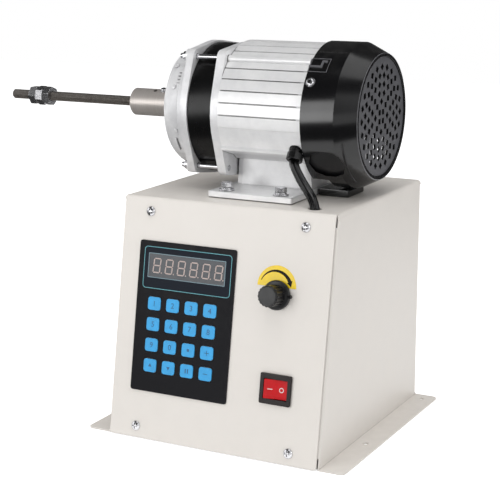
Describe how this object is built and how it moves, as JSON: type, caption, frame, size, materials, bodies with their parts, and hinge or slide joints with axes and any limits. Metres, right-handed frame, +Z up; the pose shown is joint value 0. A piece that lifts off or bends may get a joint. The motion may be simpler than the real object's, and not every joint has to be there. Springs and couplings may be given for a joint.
{
  "type": "wire coil winding machine",
  "caption": "Bench coil winder: a cream sheet-metal cabinet with a sloped keypad panel carries a ribbed electric motor that turns a threaded winding rod.",
  "frame": {"origin": "centre of the cabinet's underside, on the bench", "axes": "+X along the motor's axis towards the fan, so the winding rod points to -X; +Y to the back, with the control panel facing -Y; +Z up"},
  "size_m": [0.4395, 0.2436, 0.3665],
  "materials": {
    "cabinet_paint": "cream paint, slightly satin",
    "keypad_film": "black printed film",
    "smoked_window": "smoked, glossy",
    "circuit_board": "green solder mask",
    "black_plastic": "black, semi-gloss",
    "dark_plastic": "dark grey moulded plastic",
    "red_plastic": "translucent red, glossy",
    "key_blue": "light blue printed key",
    "motor_aluminium": "cast and machined, satin",
    "black_enamel": "glossy black enamel",
    "core_steel": "dark laminations",
    "steel": "bright, turned",
    "dark_steel": "dark oiled thread",
    "rubber": "black rubber"
  },
  "bodies": {
    "machine": {"housing_shell": "cabinet_paint", "front_panel": "cabinet_paint", "rear_panel": "cabinet_paint", "base_plate": "cabinet_paint", "panel_screw_1": "steel", "panel_screw_2": "steel", "panel_screw_3": "steel", "panel_screw_4": "steel", "keypad_film": "keypad_film", "display_window": "smoked_window", "display_board": "circuit_board", "speed_pot": "dark_plastic", "switch_frame": "black_plastic", "mains_inlet": "black_plastic", "drive_board": "circuit_board", "motor_housing": "motor_aluminium", "mid_flange": "motor_aluminium", "spacer_ring": "black_enamel", "front_bell": "motor_aluminium", "through_bolt_1": "steel", "through_bolt_2": "steel", "through_bolt_3": "steel", "through_bolt_4": "steel", "stator_core": "core_steel", "front_bearing": "steel", "rear_bearing": "steel", "fan_cover": "black_plastic", "vent_grille": "dark_plastic", "cover_rest": "rubber", "foot_bolt_1": "steel", "foot_bolt_2": "steel", "foot_bolt_3": "steel", "foot_bolt_4": "steel", "cable_gland": "rubber", "motor_lead": "rubber"},
    "spindle": {"armature": "steel", "fan": "dark_plastic", "spindle_sleeve": "steel", "winding_rod": "dark_steel", "rod_nut_1": "steel", "rod_nut_2": "steel", "rod_nut_3": "steel"},
    "speed_knob_body": {"speed_knob": "black_plastic"},
    "rocker": {"switch_rocker": "red_plastic"},
    "key_1_body": {"key_1": "key_blue"},
    "key_2_body": {"key_2": "key_blue"},
    "key_3_body": {"key_3": "key_blue"},
    "key_4_body": {"key_4": "key_blue"},
    "key_5_body": {"key_5": "key_blue"},
    "key_6_body": {"key_6": "key_blue"},
    "key_7_body": {"key_7": "key_blue"},
    "key_8_body": {"key_8": "key_blue"},
    "key_9_body": {"key_9": "key_blue"},
    "key_10_body": {"key_10": "key_blue"},
    "key_11_body": {"key_11": "key_blue"},
    "key_12_body": {"key_12": "key_blue"},
    "key_13_body": {"key_13": "key_blue"},
    "key_14_body": {"key_14": "key_blue"},
    "key_15_body": {"key_15": "key_blue"},
    "key_16_body": {"key_16": "key_blue"}
  },
  "joints": [
    {"name": "spindle_spin", "type": "hinge", "parent": "machine", "child": "spindle", "pos_m": [0, 0.014, 0.299], "axis": [1, 0, 0], "continuous": true},
    {"name": "speed_knob_turn", "type": "hinge", "parent": "machine", "child": "speed_knob_body", "pos_m": [0.0568, -0.09471, 0.14907], "axis": [0, -0.9859, 0.1673], "range_deg": [-150, 150]},
    {"name": "mains_switch_rock", "type": "hinge", "parent": "machine", "child": "rocker", "pos_m": [0.063, -0.10782, 0.06579], "axis": [0, -0.1673, -0.9859], "range_deg": [0, 20]},
    {"name": "key_1_press", "type": "slide", "parent": "machine", "child": "key_1_body", "axis": [0, 0.9859, -0.1673], "range_m": [0, 0.0004], "stiffness_N_per_m": 2000, "springref_m": -0.0004},
    {"name": "key_2_press", "type": "slide", "parent": "machine", "child": "key_2_body", "axis": [0, 0.9859, -0.1673], "range_m": [0, 0.0004], "stiffness_N_per_m": 2000, "springref_m": -0.0004},
    {"name": "key_3_press", "type": "slide", "parent": "machine", "child": "key_3_body", "axis": [0, 0.9859, -0.1673], "range_m": [0, 0.0004], "stiffness_N_per_m": 2000, "springref_m": -0.0004},
    {"name": "key_4_press", "type": "slide", "parent": "machine", "child": "key_4_body", "axis": [0, 0.9859, -0.1673], "range_m": [0, 0.0004], "stiffness_N_per_m": 2000, "springref_m": -0.0004},
    {"name": "key_5_press", "type": "slide", "parent": "machine", "child": "key_5_body", "axis": [0, 0.9859, -0.1673], "range_m": [0, 0.0004], "stiffness_N_per_m": 2000, "springref_m": -0.0004},
    {"name": "key_6_press", "type": "slide", "parent": "machine", "child": "key_6_body", "axis": [0, 0.9859, -0.1673], "range_m": [0, 0.0004], "stiffness_N_per_m": 2000, "springref_m": -0.0004},
    {"name": "key_7_press", "type": "slide", "parent": "machine", "child": "key_7_body", "axis": [0, 0.9859, -0.1673], "range_m": [0, 0.0004], "stiffness_N_per_m": 2000, "springref_m": -0.0004},
    {"name": "key_8_press", "type": "slide", "parent": "machine", "child": "key_8_body", "axis": [0, 0.9859, -0.1673], "range_m": [0, 0.0004], "stiffness_N_per_m": 2000, "springref_m": -0.0004},
    {"name": "key_9_press", "type": "slide", "parent": "machine", "child": "key_9_body", "axis": [0, 0.9859, -0.1673], "range_m": [0, 0.0004], "stiffness_N_per_m": 2000, "springref_m": -0.0004},
    {"name": "key_10_press", "type": "slide", "parent": "machine", "child": "key_10_body", "axis": [0, 0.9859, -0.1673], "range_m": [0, 0.0004], "stiffness_N_per_m": 2000, "springref_m": -0.0004},
    {"name": "key_11_press", "type": "slide", "parent": "machine", "child": "key_11_body", "axis": [0, 0.9859, -0.1673], "range_m": [0, 0.0004], "stiffness_N_per_m": 2000, "springref_m": -0.0004},
    {"name": "key_12_press", "type": "slide", "parent": "machine", "child": "key_12_body", "axis": [0, 0.9859, -0.1673], "range_m": [0, 0.0004], "stiffness_N_per_m": 2000, "springref_m": -0.0004},
    {"name": "key_13_press", "type": "slide", "parent": "machine", "child": "key_13_body", "axis": [0, 0.9859, -0.1673], "range_m": [0, 0.0004], "stiffness_N_per_m": 2000, "springref_m": -0.0004},
    {"name": "key_14_press", "type": "slide", "parent": "machine", "child": "key_14_body", "axis": [0, 0.9859, -0.1673], "range_m": [0, 0.0004], "stiffness_N_per_m": 2000, "springref_m": -0.0004},
    {"name": "key_15_press", "type": "slide", "parent": "machine", "child": "key_15_body", "axis": [0, 0.9859, -0.1673], "range_m": [0, 0.0004], "stiffness_N_per_m": 2000, "springref_m": -0.0004},
    {"name": "key_16_press", "type": "slide", "parent": "machine", "child": "key_16_body", "axis": [0, 0.9859, -0.1673], "range_m": [0, 0.0004], "stiffness_N_per_m": 2000, "springref_m": -0.0004}
  ]
}
